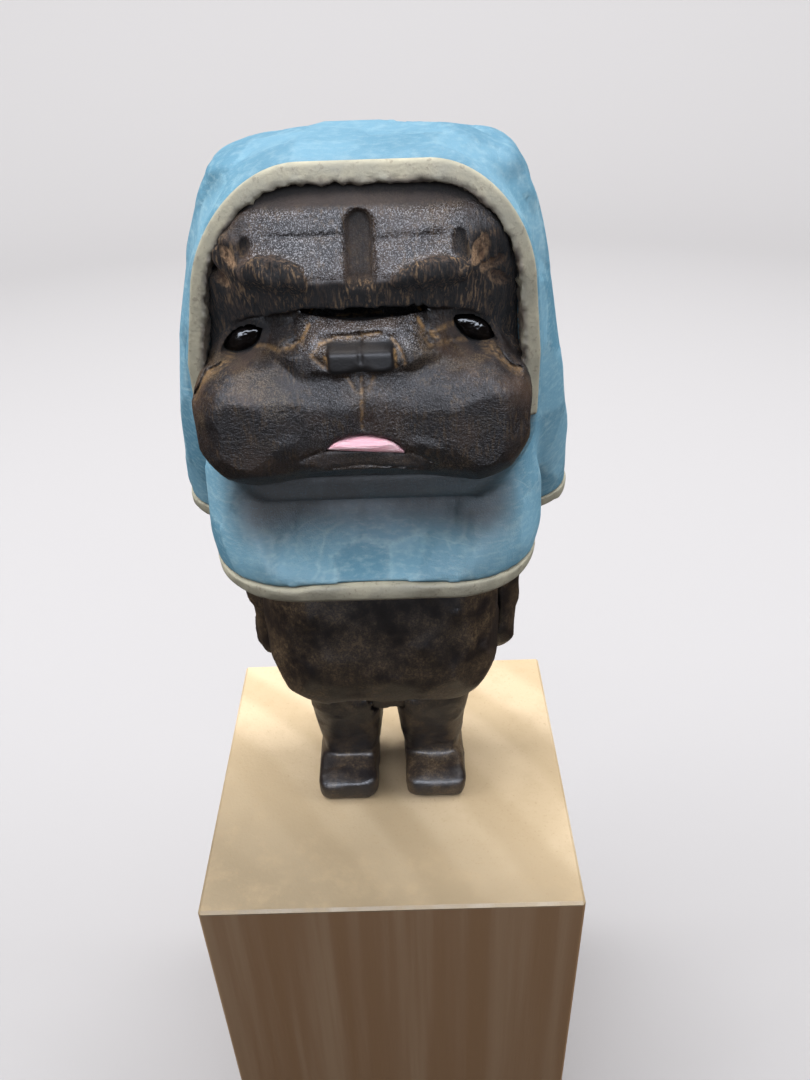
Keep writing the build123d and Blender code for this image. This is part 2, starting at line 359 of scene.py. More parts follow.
def knife_facets(points, faces, spacing, seed, stretch=(1, 1, 1), wander=0.5, softness=0.35):
    """Cuts the surface into flat facets. Returns moved points, ridge closeness and facet tone."""
    normals = vertex_normals(points, faces)
    wavy = points + wander * np.stack(
        [noise(points, 0.9 / spacing, seed + i) for i in range(3)], 1
    ) * spacing * 0.5
    stretched = wavy / np.array(stretch)
    seeds = spread_seeds(stretched, spacing, seed)
    moved = np.empty_like(points)
    ridge = np.empty(len(points))
    tone = np.empty(len(points))
    tones = np.random.default_rng(seed).uniform(0, 1, len(seeds))
    for begin in range(0, len(points), 8000):
        part = slice(begin, begin + 8000)
        gaps = np.linalg.norm(stretched[part, None] - stretched[seeds][None], axis=2)
        pair = np.argpartition(gaps, 1, axis=1)[:, :2]
        rows = np.arange(len(pair))[:, None]
        swap = gaps[rows, pair][:, 0] > gaps[rows, pair][:, 1]
        pair[swap] = pair[swap][:, ::-1]
        near, far = (gaps[rows[:, 0], pair[:, i]] for i in range(2))
        share = np.clip(0.5 + (far - near) / (2 * softness * spacing), 0, 1)
        shift = 0
        for i, weight in ((0, share), (1, 1 - share)):
            home = seeds[pair[:, i]]
            height = np.sum((points[home] - points[part]) * normals[home], 1)
            shift = shift + (weight * np.clip(height, -0.8, 0.8))[:, None] * normals[home]
        moved[part] = points[part] + shift
        ridge[part] = 1 - smooth_step(0, 0.22 * spacing, far - near)
        tone[part] = tones[pair[:, 0]]
    return moved, ridge, tone


def make_piece(name, points, faces, body, material, replaced, marks=None):
    """A mesh object in metres that rides on a body and stands for its CAD nodes."""
    mesh = bpy.data.meshes.new(name)
    mesh.vertices.add(len(points))
    mesh.vertices.foreach_set(
        "co", ((points + (0, 0, PEDESTAL_TOP / MM)) * MM).astype(np.float32).ravel()
    )
    mesh.loops.add(faces.size)
    mesh.loops.foreach_set("vertex_index", faces.astype(np.int32).ravel())
    mesh.polygons.add(len(faces))
    mesh.polygons.foreach_set("loop_start", np.arange(0, faces.size, 4, dtype=np.int32))
    mesh.update(calc_edges=True)
    mesh.validate()
    mesh.shade_smooth()
    for mark, values in (marks or {}).items():
        attribute = mesh.attributes.new(mark, "FLOAT", "POINT")
        attribute.data.foreach_set("value", values.astype(np.float32))
    mesh.materials.append(material)
    piece = bpy.data.objects.new(name, mesh)
    bpy.context.scene.collection.objects.link(piece)
    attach(piece, body)
    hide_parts(*replaced)
    return piece


# Shared outlines of the head, hood and torso


def narrowing(z):
    """Share of full width left at a height: the head and hood narrow to the crown."""
    return 1 - 0.0085 * np.clip(z - 80, 0, 30)


def lean(z):
    """Sideways drift of the crown, which isn't quite over the feet."""
    return 0.3 + 0.045 * np.clip(z - 80, 0, 20)


TORSO_RIBS = [
    (17.4, 11.0, -4.6, 6.6, 4.0),
    (22.4, 11.7, -6.6, 8.6, 4.6),
    (24.6, 13.1, -9.6, 9.6, 6.0),
    (26.8, 14.5, -12.0, 10.4, 7.4),
    (30.5, 15.5, -13.4, 11.2, 8.2),
    (39.0, 15.7, -13.7, 11.4, 8.4),
    (48.0, 15.4, -13.0, 11.0, 8.4),
    (57.0, 14.0, -11.6, 9.6, 8.4),
    (63.5, 10.0, -10.0, 5.0, 7.0),
]
NECK = dict(x=0, y=-5, radius=7.0, low=60, high=67.5)
HOOD_RIBS = [
    (52.8, 24.3, -7.0, 18.0, 7.0),
    (60.0, 23.6, -10.5, 16.8, 8.5),
    (68.0, 22.6, -14.5, 15.0, 10.0),
    (77.0, 21.0, -17.0, 13.8, 11.0),
    (85.0, 19.2, -17.6, 12.4, 11.0),
    (90.5, 17.7, -17.6, 10.2, 10.0),
    (94.5, 15.8, -17.4, 7.0, 9.0),
    (97.0, 13.6, -17.0, 3.2, 8.5),
    (97.8, 11.2, -16.4, 0.2, 8.0),
]
BIB_RIBS = [
    (52.8, 18.0, -24.5, -2.0, 10.0),
    (56.0, 18.5, -24.4, -2.0, 9.8),
    (58.5, 18.7, -23.4, -2.0, 8.8),
    (61.5, 18.7, -21.6, -2.0, 7.6),
    (66.0, 18.6, -19.6, -2.0, 6.6),
    (74.0, 17.4, -17.8, -2.0, 6.0),
]
BACK_CAVITY_RIBS = [
    (51.0, 21.6, -4.6, 15.4, 6.4),
    (57.0, 20.0, -6.0, 13.2, 6.4),
    (60.5, 17.0, -8.0, 10.0, 6.4),
]
BIB_CAVITY_RIBS = [
    (51.0, 15.6, -21.6, 4.0, 7.0),
    (57.0, 15.2, -18.6, 4.0, 7.0),
    (60.5, 13.5, -13.6, 4.0, 7.0),
]
EARS = [(-8.4, 4.4), (9.4, 4.6)]
HEM_LOW = 53.6
HEM_HIGH = 55.6


def torso_form(p):
    trunk = lofted(p, TORSO_RIBS, 2.0)
    return smooth_min(trunk, upright_cylinder(p, **NECK), 1.5)


def skull_outline(x, z, grow=0.0):
    """The face opening: an arch that narrows to the crown."""
    across = (x - lean(z)) / narrowing(z)
    return rounded_rectangle(across, z - 80.6, 15.4 + grow, 15.7 + grow, 8.8 + grow)


def skull_back(y, z):
    """The back of the skull, sloping forward to the crown."""
    return y - 6.5 + 0.95 * np.maximum(z - 86.5, 0)


def muzzle_form(p):
    """A wide loaf of two jowls, rounder towards its sides."""
    x, y, z = p
    loaf = rounded_box(
        (x, y + 0.008 * x * x, z + 0.35 * np.exp(-((np.abs(x) - 10.5) / 4.5) ** 2)),
        (0, -15.4, 74.9),
        (16.5, 9.9, 7.3),
        5.9,
    )
    snout = ellipsoid(p, (0.1, -17.0, 77.4), (7.0, 7.8, 5.6))
    return smooth_min(loaf, snout, 1.6)


# Head

# Marks on the face. Lines are (x, z) points, golden ones with a depth and cracks with a depth and a
# reach to either side. Cuts and lumps are (start, end, half width).
CREASES = [
    [(-5.1, 83.0), (-7.2, 82.2), (-9.4, 82.0), (-12.0, 81.2), (-14.3, 80.0), (-15.8, 77.6)],
    [(5.8, 83.6), (6.6, 82.4), (8.6, 82.1), (10.8, 81.8), (13.0, 80.8), (15.0, 79.2)],
]
EYES = {"left": ((-9.2, 83.25), (-13.25, 81.2)), "right": ((8.95, 83.65), (13.0, 81.45))}
EYE_HALF_HEIGHT = 1.05
BARE_CUTS = [
    ((-11.7, 91.7), (-10.6, 89.6), 0.58),
    ((-13.7, 90.0), (-11.6, 87.6), 0.78),
    ((11.8, 91.9), (10.7, 89.1), 0.78),
    ((11.3, 88.7), (13.7, 89.3), 0.62),
    ((12.1, 88.2), (14.1, 86.6), 0.60),
]
DARK_CUTS = [((-9.4, 92.3), (-10.0, 90.5), 0.55), ((9.35, 92.6), (9.7, 89.0), 0.66)]
BROW_LUMPS = [((-10.3, 89.4), (-4.3, 88.9), 1.9), ((3.4, 88.7), (10.6, 89.3), 1.5)]
DARK_LINES = [
    [(0.15, 84.0), (0.25, 81.7)],
    [(-3.2, 70.6), (0.5, 70.8), (5.4, 70.0)],
    [(-6.4, 71.7), (-4.2, 72.5)],
    [(4.6, 72.3), (6.6, 71.0)],
]
GOLDEN_LINES = [
    ([(0.2, 80.0), (0.0, 74.9)], 0.35),
    ([(-1.15, 80.0), (-0.4, 78.6)], 0.22),
    ([(1.3, 79.9), (0.8, 78.7)], 0.22),
    ([(-3.0, 81.0), (-4.4, 82.2), (-3.6, 83.1), (-2.0, 83.6), (2.2, 83.9)], 0.3),
    ([(-3.0, 82.1), (-3.0, 81.0)], 0.3),
    ([(3.1, 83.5), (3.9, 82.5), (4.3, 81.1)], 0.4),
    ([(3.4, 82.6), (3.5, 80.9)], 0.4),
    ([(-4.4, 84.6), (-5.3, 83.0), (-6.6, 82.4)], 0.3),
    ([(5.6, 84.6), (6.2, 83.5), (7.3, 82.8)], 0.4),
    ([(6.8, 83.2), (9.0, 83.3)], 0.3),
]
CRACKS = [([(-8.0, 92.3), (-0.7, 92.4)], 0.22, 0.35), ([(1.9, 91.8), (8.1, 92.1)], 0.25, 0.6)]
GROOVE = [(0.55, 93.0), (0.5, 88.2)]
GROOVE_HALF_WIDTH = 1.12
LIP = [(-3.9, 71.5), (0.4, 71.75), (5.0, 71.0)]
NOSE_MIDDLE = 0.25
NOSE_HALF_WIDTH = 3.15


def brow_edge(x):
    """Height of the brow's lower edge across the face."""
    return curve(
        x,
        (-15.0, -13.4, -11.0, -8.6, -5.0, 0.1, 5.0, 8.6, 11.0, 13.4, 15.0),
        (80.2, 82.4, 84.3, 84.9, 85.8, 85.6, 85.8, 85.1, 84.3, 82.4, 80.2),
    )


def face_front(x, z):
    """How far the upper face stands forward of y = 0, as a height map over x and z."""
    side = np.abs(x)
    forehead = 21.7 + 0.36 * (94.6 - z) - 0.028 * np.maximum(side - 5, 0) ** 2
    bevel = 21.7 - 1.15 * (z - 94.6) - 0.012 * side**2
    brow = 23.7 - 0.22 * (88.6 - z) - 0.040 * np.maximum(side - 4, 0) ** 2
    upper = smooth_min(smooth_min(forehead, bevel, 0.35), brow, 0.5)
    slope = 0.75 + 0.45 * smooth_step(9.0, 7.4, side)
    orbit = 20.5 + slope * np.clip(84.4 - z, 0, 2.4) - 0.0095 * side**2
    orbit = orbit + 1.4 * smooth_step(9.4, 5.6, side)
    above = smooth_step(-0.30, 0.35, z - brow_edge(x))
    front = orbit + (upper - orbit) * above
    for start, end, half in BROW_LUMPS:
        lump = smooth_step(0.0, 0.25, scoop(x, z, start, end, half))
        front = front + 1.05 * lump * smooth_step(87.2, 89.2, z)
    return np.maximum(front, nose_front(x, z))


def nose_front(x, z):
    """Height map of the bridge, the wings and the two-lobed nose pad."""
    across = np.abs(x - NOSE_MIDDLE)
    flare = 4.3 + 0.9 * np.clip(84.3 - z, 0, 2.0)
    bridge = np.minimum(22.9 + 2.0 * (84.9 - z), 24.0) - 2.0 * np.maximum(z - 84.9, 0)
    bridge = smooth_min(bridge, 24.4 - 2.2 * np.maximum(across - flare + 0.6, 0), 0.4)
    bridge = np.where(z > 81.0, bridge, bridge - 2.0 * (81.0 - z))
    wing = 24.8 - 0.5 * np.maximum(across - 4.3, 0) ** 2 - 0.8 * np.maximum(np.abs(z - 81.6) - 1.0, 0)
    pad = np.minimum(25.6, 24.2 + 2.9 * (83.1 - z))
    corner = rounded_rectangle(across, z - 82.3, NOSE_HALF_WIDTH, 1.55, 0.6)
    pad = pad - 4.0 * np.maximum(corner + 0.15, 0)
    return np.maximum(smooth_min(-bridge, -wing, 0.3) * -1, pad)


def groove_mark(x, z):
    """The upright groove in the forehead: 1 inside it."""
    inside = smooth_step(0.35, -0.25, stroke(x, z, GROOVE) - GROOVE_HALF_WIDTH)
    return inside * smooth_step(87.6, 88.9, z)


def face_cuts(x, z):
    """Depth of the groove, scoops, creases, lines and cracks cut into the face."""
    cut = 1.25 * groove_mark(x, z)
    for start, end, half in BARE_CUTS + DARK_CUTS:
        cut = cut + 0.75 * scoop(x, z, start, end, half)
    for line in CREASES:
        cut = cut + 0.55 * smooth_step(0.55, 0.0, stroke(x, z, line))
    for line in DARK_LINES:
        cut = cut + 0.4 * smooth_step(0.32, 0.0, stroke(x, z, line))
    for line, depth in GOLDEN_LINES:
        cut = cut + depth * smooth_step(0.32, 0.0, stroke(x, z, line))
    for line, depth, reach in CRACKS:
        cut = cut + depth * smooth_step(reach, 0.0, stroke(x, z, line))
    return cut


def hair_zone(x, z):
    """Where the brow, its lumps and the temples are cut into bristles."""
    over_edge = z - brow_edge(x)
    brow = smooth_step(88.9, 88.2, z) * smooth_step(-0.2, 0.6, over_edge)
    temple = smooth_step(9.0, 11.5, np.abs(x)) * smooth_step(93.2, 91.5, z)
    temple = temple * smooth_step(-0.4, 0.4, over_edge)
    hair = np.maximum(brow, temple)
    for start, end, half in BROW_LUMPS:
        hair = np.maximum(hair, smooth_step(0.0, 0.2, scoop(x, z, start, end, half)))
    return hair


def gloss_and_painted_glint_zone(x, z):
    """Where the face is glossier and carries painted highlights, pale grainy glints: forehead, bridge
    and snout.
    """
    forehead = smooth_step(88.6, 89.4, z) * smooth_step(94.7, 94.0, z)
    forehead = forehead * smooth_step(10.6, 8.4, np.abs(x - 0.3))
    bridge = smooth_step(81.8, 82.6, z) * smooth_step(6.4, 5.2, np.abs(x - NOSE_MIDDLE))
    bridge = bridge * smooth_step(-0.2, -0.8, z - brow_edge(x))
    snout = 0.35 * smooth_step(8.0, 3.0, np.abs(x))
    return np.maximum(np.maximum(forehead, bridge), snout)


def face_zones(x, z):
    """Strength from 0 to 1 of each painted zone of the face."""
    gold, bare = 0, 0
    for line in CREASES:
        gold = np.maximum(gold, 0.32 * smooth_step(0.3, 0.05, stroke(x, z, line)))
    for line, _ in GOLDEN_LINES:
        gold = np.maximum(gold, 0.85 * smooth_step(0.21, 0.04, stroke(x, z, line)))
    for start, end, half in BARE_CUTS:
        bare = np.maximum(bare, smooth_step(0.1, 0.6, scoop(x, z, start, end, half)))
    groove = groove_mark(x, z)
    bare = np.maximum(bare, 0.10 * groove)
    hair = hair_zone(x, z)
    band = smooth_step(94.3, 94.9, z)
    lobes = rounded_rectangle(x - NOSE_MIDDLE, z - 82.15, NOSE_HALF_WIDTH, 1.6, 0.5)
    pad = 0.95 * smooth_step(0.15, -0.1, lobes) * smooth_step(83.5, 83.2, z)
    dull = 0.5 * smooth_step(1.3, 0.7, stroke(x, z, LIP))
    for start, end, half in DARK_CUTS:
        dull = np.maximum(dull, smooth_step(0.0, 0.4, scoop(x, z, start, end, half)))
    for ends in EYES.values():
        rim = eye_axes((x, 0, z), ends)[2]
        dull = np.maximum(dull, 0.8 * smooth_step(1.0, 0.4, rim))
    for zone in (hair, band, groove, bare, pad):
        dull = np.maximum(dull, zone)
    gloss_and_painted_glint = gloss_and_painted_glint_zone(x, z)
    return dict(gold=gold, dull=dull, bare=bare, hair=hair, band=band, pad=pad, gloss_and_painted_glint=gloss_and_painted_glint)


def mouth_lens(x, z, grow):
    """Distance-like measure of the lens between the lips, which holds the tongue."""
    lower = 72.55 - 0.085 * (x - 0.2) - 0.014 * (x - 0.2) ** 2
    upper = 74.1 - 0.048 * (x - 0.2) ** 2 - 0.0045 * (x - 0.2) ** 4 - 0.06 * (x - 0.2)
    return np.maximum(lower - z, z - upper) - grow


def pocket_form(p):
    """The dark undercut between the brow and the top of the bridge."""
    x, y, z = p
    sill = 84.95 - 0.6 * (y + 23.0) + 0.035 * (x - 0.7) ** 2
    depth = np.maximum(y + 18.2, np.abs(x - 0.7) - 6.4 + 0.25 * np.abs(y + 23.0))
    return smooth_max(smooth_max(sill - z, z - brow_edge(x) - 0.25, 0.3), depth, 0.5)


def head_form(p):
    x, y, z = p
    skull = np.maximum(skull_outline(x, z, 0.0), np.maximum(-26 - y, skull_back(y, z)))
    upper = smooth_max(skull, -face_front(x, z) - y, 0.5)
    upper = np.maximum(upper, 70 - z)
    head = smooth_min(upper, muzzle_form(p), 0.45)
    head = smooth_min(head, throat_form(p), 0.8)
    lip = stroke(x, z, LIP)
    head = smooth_min(head, np.sqrt(lip**2 + (y + 23.9) ** 2) - 0.75, 0.4)
    slot = np.maximum(mouth_lens(x, z, 0.12), y + 22.6)
    head = np.maximum(head, -slot)
    in_front = smooth_step(-14.0, -17.0, y)
    head = head + face_cuts(x, z) * in_front
    head = np.maximum(head, -pocket_form(p))
    for ends in EYES.values():
        head = np.maximum(head, -eye_socket(p, ends))
    return head


def eye_axes(p, ends):
    """Position along and across an eye, and the distance to its almond outline."""
    (x0, z0), (x1, z1) = ends
    half_length = math.hypot(x1 - x0, z1 - z0) / 2
    ux, uz = (x1 - x0) / (2 * half_length), (z1 - z0) / (2 * half_length)
    x, y, z = p
    along = (x - (x0 + x1) / 2) * ux + (z - (z0 + z1) / 2) * uz
    across = (z - (z0 + z1) / 2) * ux - (x - (x0 + x1) / 2) * uz
    arc = (half_length**2 + EYE_HALF_HEIGHT**2) / (2 * EYE_HALF_HEIGHT)
    outline = np.hypot(along, np.abs(across) + arc - EYE_HALF_HEIGHT) - arc
    return along, across, outline


def eye_socket(p, ends):
    outline = eye_axes(p, ends)[2]
    return np.maximum(outline - 0.05, p[1] + 17.9)


def eye_bead(p, ends):
    """An almond bead sunk in its socket."""
    along, across, outline = eye_axes(p, ends)
    dome = ellipsoid((along, p[1], across), (0, -18.3, 0), (3.2, 2.1, 2.1))
    return smooth_max(outline + 0.02, dome, 0.4)


# Cape, bands, body


def throat_form(p):
    """The underside of the chin, running back to the neck."""
    return rounded_box(p, (0, -11.5, 67.5), (11.0, 6.6, 3.4), 2.5)


def hood_shell(p):
    """Outer form of the cape: back, brim and bib, before any hollow."""
    x, y, z = p
    back = lofted((x - lean(z), y, z), HOOD_RIBS, 1.6)
    for middle, reach in EARS:
        ear = ellipsoid(p, (middle, -9.5, 94.7), (reach, 6.5, 3.1))
        back = smooth_min(back, ear, 1.8)
    spread = curve(y, (-20.6, -19.0, -15.0, -8.0), (1.75, 2.1, 2.45, 2.6))
    brim = skull_outline(x, z, 0.0) - spread
    brim = smooth_max(brim, np.maximum(-20.4 - y, y + 5.0), 0.9)
    brim = np.maximum(brim, 64 - z)
    bib = lofted((x - 0.3, y, z), BIB_RIBS, 0.8)
    bib = smooth_max(bib, -ellipsoid(p, (0, -27.4, 66.8), (17.2, 11.6, 11.2)), 1.8)
    return smooth_min(smooth_min(back, brim, 1.6), bib, 1.0)


def hood_hollow(p):
    """The room inside the cape for the head, torso and arms."""
    x, y, z = p
    skull = np.maximum(skull_outline(x, z, -0.05), np.maximum(-30 - y, skull_back(y, z)))
    skull = np.maximum(skull, 67.0 - z)
    hollow = np.minimum(skull, muzzle_form(p))
    hollow = np.minimum(hollow, lofted(p, BACK_CAVITY_RIBS, 0.5))
    hollow = np.minimum(hollow, lofted(p, BIB_CAVITY_RIBS, 0.5))
    return np.minimum(np.minimum(hollow, throat_form(p)), torso_form(p))


def cape_form(p):
    shell = np.maximum(hood_shell(p), -hood_hollow(p))
    x, y, z = p
    arch = skull_outline(x, z, 0.0)
    seat = np.maximum(np.maximum(arch - 0.9, y - BAND_BACK), 73.5 - z)
    return np.maximum(np.maximum(shell, HEM_HIGH - z), -seat)


def hem_form(p):
    shell = np.maximum(hood_shell(p) - 0.12, -hood_hollow(p))
    return smooth_max(smooth_max(shell, p[2] - HEM_HIGH, 0.25), HEM_LOW - p[2], 0.5)


BAND_WIDTH = 1.85
BAND_BACK = -17.4


def band_form(p):
    """The beige band round the face: a bevelled arch with a rough inner edge."""
    x, y, z = p
    arch = skull_outline(x, z, 0.0)
    front = -21.3 + 0.42 * np.clip(arch + 0.1, 0, BAND_WIDTH)
    band = smooth_max(arch - BAND_WIDTH + 0.1, -arch - 0.1, 0.2)
    band = smooth_max(band, np.maximum(front - y, y - BAND_BACK), 0.25)
    return np.maximum(band, 73.5 - z)


SHANK_RIBS = [
    (1.0, 4.0, -1.5, 5.6, 2.4),
    (6.0, 4.4, -1.6, 5.7, 2.4),
    (10.0, 4.9, -2.7, 5.8, 2.8),
    (14.0, 5.1, -4.4, 6.2, 3.4),
    (17.5, 5.5, -5.8, 6.4, 3.8),
    (24.0, 5.8, -6.4, 6.4, 4.0),
]


def leg_form(p, sign):
    x, y, z = p
    toe = 5.3 - 0.21 * np.maximum(-y - 1.0, 0)
    foot = rounded_box(p, (sign * 6.95 + 0.2, -0.2, 2.6), (4.6, 6.65, 2.6), 1.7)
    foot = smooth_max(foot, z - toe, 1.1)
    shank = lofted((x - sign * 6.4 - 0.25, y, z), SHANK_RIBS, 0.5)
    leg = smooth_min(foot, shank, 0.9)
    return np.maximum(leg, -torso_form(p) + 0.05)


def arm_form(p, sign):
    x, y, z = p
    slim = 1 - 0.014 * np.clip(40 - z, 0, 15)
    middle = sign * 16.0 + 0.1
    arm = rounded_box(
        ((x - middle) / slim, (y - 1.0) / slim, z), (0, 0, 43.0), (3.15, 4.5, 16.2), 2.7
    )
    return np.maximum(arm, -torso_form(p) + 0.05)


def tongue_form(p):
    x, y, z = p
    lens = mouth_lens(x, z, -0.02)
    front = -25.7 + 0.03 * x * x + 0.9 * np.maximum(z - 73.3, 0)
    return smooth_max(smooth_max(lens, front - y, 0.35), y + 20, 0.2)


# Materials


class Nodes:
    """Short calls for building a material's node tree."""

    def __init__(self, name):
        self.material = bpy.data.materials.new(name)
        self.material.use_nodes = True
        self.tree = self.material.node_tree
        self.shader = self.tree.nodes["Principled BSDF"]
        self.place = self.add("ShaderNodeTexCoord").outputs["Object"]

    def add(self, kind, **settings):
        node = self.tree.nodes.new(kind)
        for name, value in settings.items():
            setattr(node, name, value)
        return node

    def link(self, value, socket):
        if isinstance(value, bpy.types.NodeSocket):
            self.tree.links.new(value, socket)
        else:
            socket.default_value = value

    def stretched(self, scale):
        mapping = self.add("ShaderNodeMapping")
        self.link(self.place, mapping.inputs["Vector"])
        mapping.inputs["Scale"].default_value = scale
        return mapping.outputs["Vector"]

    def noise(self, scale, detail=3.0, roughness=0.55):
        """Noise whose scale is cells per metre along each axis."""
        node = self.add("ShaderNodeTexNoise")
        self.link(self.stretched(scale), node.inputs["Vector"])
        node.inputs["Scale"].default_value = 1.0
        node.inputs["Detail"].default_value = detail
        node.inputs["Roughness"].default_value = roughness
        return node.outputs["Fac"]

    def ramp(self, value, low, high, start=0.0, end=1.0):
        node = self.add("ShaderNodeMapRange", interpolation_type="SMOOTHSTEP")
        self.link(value, node.inputs["Value"])
        for name, number in zip(("From Min", "From Max", "To Min", "To Max"), (low, high, start, end)):
            node.inputs[name].default_value = number
        return node.outputs["Result"]

    def math(self, operation, a, b):
        node = self.add("ShaderNodeMath", operation=operation)
        self.link(a, node.inputs[0])
        self.link(b, node.inputs[1])
        return node.outputs["Value"]

    def mix(self, share, a, b):
        node = self.add("ShaderNodeMix", data_type="RGBA")
        self.link(share, node.inputs["Factor"])
        self.link(a if isinstance(a, bpy.types.NodeSocket) else (*a, 1), node.inputs["A"])
        self.link(b if isinstance(b, bpy.types.NodeSocket) else (*b, 1), node.inputs["B"])
        return node.outputs["Result"]

    def mark(self, name):
        return self.add("ShaderNodeAttribute", attribute_name=name).outputs["Fac"]

    def bump(self, height, distance, strength=1.0, under=None):
        node = self.add("ShaderNodeBump")
        self.link(height, node.inputs["Height"])
        node.inputs["Distance"].default_value = distance
        node.inputs["Strength"].default_value = strength
        if under:
            self.link(under, node.inputs["Normal"])
        return node.outputs["Normal"]

    def finish(self, colour, roughness, normal, **constants):
        self.link(colour, self.shader.inputs["Base Color"])
        self.link(roughness, self.shader.inputs["Roughness"])
        self.link(normal, self.shader.inputs["Normal"])
        for name, value in constants.items():
            self.shader.inputs[name.replace("_", " ")].default_value = value
        return self.material


DARK = (0.011, 0.008, 0.008)
UMBER = (0.042, 0.026, 0.018)
OCHRE = (0.100, 0.070, 0.036)
GOLD = (0.42, 0.26, 0.11)
BARE = (0.42, 0.275, 0.165)
SMOKE = (0.075, 0.062, 0.058)
# Colour of the painted highlights: pale glints on the glossy zones of the face.
PAINTED_GLINT = (0.32, 0.325, 0.355)


def face_wood():
    """Dark stained head wood: grainy, with brindle strokes, bare gouges, golden lines, painted
    highlight glints and painted shade in the brow pocket.
    """
    n = Nodes("face_wood")
    gold, dull, bare, hair, band, pad, gloss_and_painted_glint = (
        n.mark(zone) for zone in ("gold", "dull", "bare", "hair", "band", "pad", "gloss_and_painted_glint")
    )
    grit = n.noise((7500, 7500, 7500), 2, 0.75)
    coarse = n.noise((3200, 3200, 3200), 2, 0.6)
    mottle = n.noise((260, 260, 200), 4, 0.6)
    colour = n.mix(n.ramp(mottle, 0.42, 0.66), DARK, UMBER)
    warm = n.math("MULTIPLY", n.ramp(n.noise((190, 190, 210), 3), 0.50, 0.66), n.ramp(grit, 0.42, 0.6))
    colour = n.mix(n.math("MULTIPLY", warm, 0.9), colour, OCHRE)
    # Painted highlights: pale glints mixed into the colour where the face is glossy.
    painted_glint = n.math("MULTIPLY", n.ramp(grit, 0.50, 0.64), n.ramp(dull, 0, 1, 1.0, 0.15))
    painted_glint = n.math("MULTIPLY", painted_glint, n.ramp(gloss_and_painted_glint, 0, 1, 0.12, 0.85))
    colour = n.mix(painted_glint, colour, PAINTED_GLINT)
    strands = n.noise((3500, 3500, 600), 3, 0.6)
    patches = n.ramp(n.noise((420, 420, 330), 2), 0.38, 0.58)
    flecks = n.math("MULTIPLY", n.ramp(strands, 0.50, 0.64), patches)
    flecks = n.math("MULTIPLY", flecks, n.ramp(hair, 0, 1, 0.25, 0.8))
    fur = n.mix(n.ramp(strands, 0.44, 0.58), (0.007, 0.005, 0.004), (0.050, 0.031, 0.020))
    colour = n.mix(n.math("MULTIPLY", hair, 0.85), colour, fur)
    colour = n.mix(flecks, colour, (0.21, 0.14, 0.075))
    colour = n.mix(n.math("MULTIPLY", band, 0.75), colour, SMOKE)
    # Near-black on the nose pad, and painted shade in the pocket under the brow.
    colour = n.mix(n.math("MULTIPLY", pad, 0.92), colour, (0.005, 0.004, 0.004))
    grain = n.ramp(coarse, 0.32, 0.66, 0.35, 1.0)
    colour = n.mix(n.math("MULTIPLY", bare, grain), colour, BARE)
    rub = n.ramp(n.noise((1500, 1500, 1500), 3), 0.38, 0.60, 0.15, 0.95)
    colour = n.mix(n.math("MULTIPLY", gold, rub), colour, GOLD)
    roughness = n.math("MULTIPLY", n.ramp(dull, 0, 1, 1.0, 2.3), n.ramp(gloss_and_painted_glint, 0, 1, 0.45, 0.35))
    roughness = n.math("MULTIPLY", roughness, n.ramp(pad, 0, 1, 1.0, 0.62))
    cuts = n.math("MULTIPLY", n.noise((2300, 2300, 260), 3, 0.6), hair)
    grit = n.math("MULTIPLY", grit, n.ramp(pad, 0, 1, 1.0, 0.3))
    coarse = n.math("MULTIPLY", coarse, n.ramp(pad, 0, 1, 1.0, 0.3))
    fine = n.bump(grit, 0.00006, 1.0, n.bump(coarse, 0.00009, 1.0))
    return n.finish(colour, roughness, n.bump(cuts, 0.0005, 1.0, fine), Specular_IOR_Level=0.26)


def body_wood():
    """Dark stained body wood with golden mottling and knife facets."""
    n = Nodes("body_wood")
    grit = n.noise((5200, 5200, 5200), 2, 0.7)
    mottle = n.noise((170, 170, 150), 5, 0.66)
    colour = n.mix(n.ramp(mottle, 0.38, 0.72), DARK, UMBER)
    warm = n.math("MULTIPLY", n.ramp(mottle, 0.38, 0.66), n.ramp(grit, 0.40, 0.62))
    colour = n.mix(n.math("MULTIPLY", warm, 0.85), colour, OCHRE)
    specks = n.ramp(n.noise((2300, 2300, 2000), 3), 0.48, 0.66)
    flecks = n.math("MULTIPLY", specks, n.ramp(mottle, 0.42, 0.66))
    colour = n.mix(n.math("MULTIPLY", flecks, 0.75), colour, (0.155, 0.11, 0.06))
    edge = n.math("MULTIPLY", n.mark("ridge"), n.ramp(n.noise((500, 500, 500), 3), 0.45, 0.7))
    colour = n.mix(n.math("MULTIPLY", edge, 0.3), colour, SMOKE)
    roughness = n.ramp(mottle, 0.3, 0.7, 0.34, 0.50)
    fine = n.bump(grit, 0.00005, 0.9)
    grain = n.noise((1300, 1300, 120), 3)
    return n.finish(colour, roughness, n.bump(grain, 0.0001, 0.6, fine), Specular_IOR_Level=0.38)


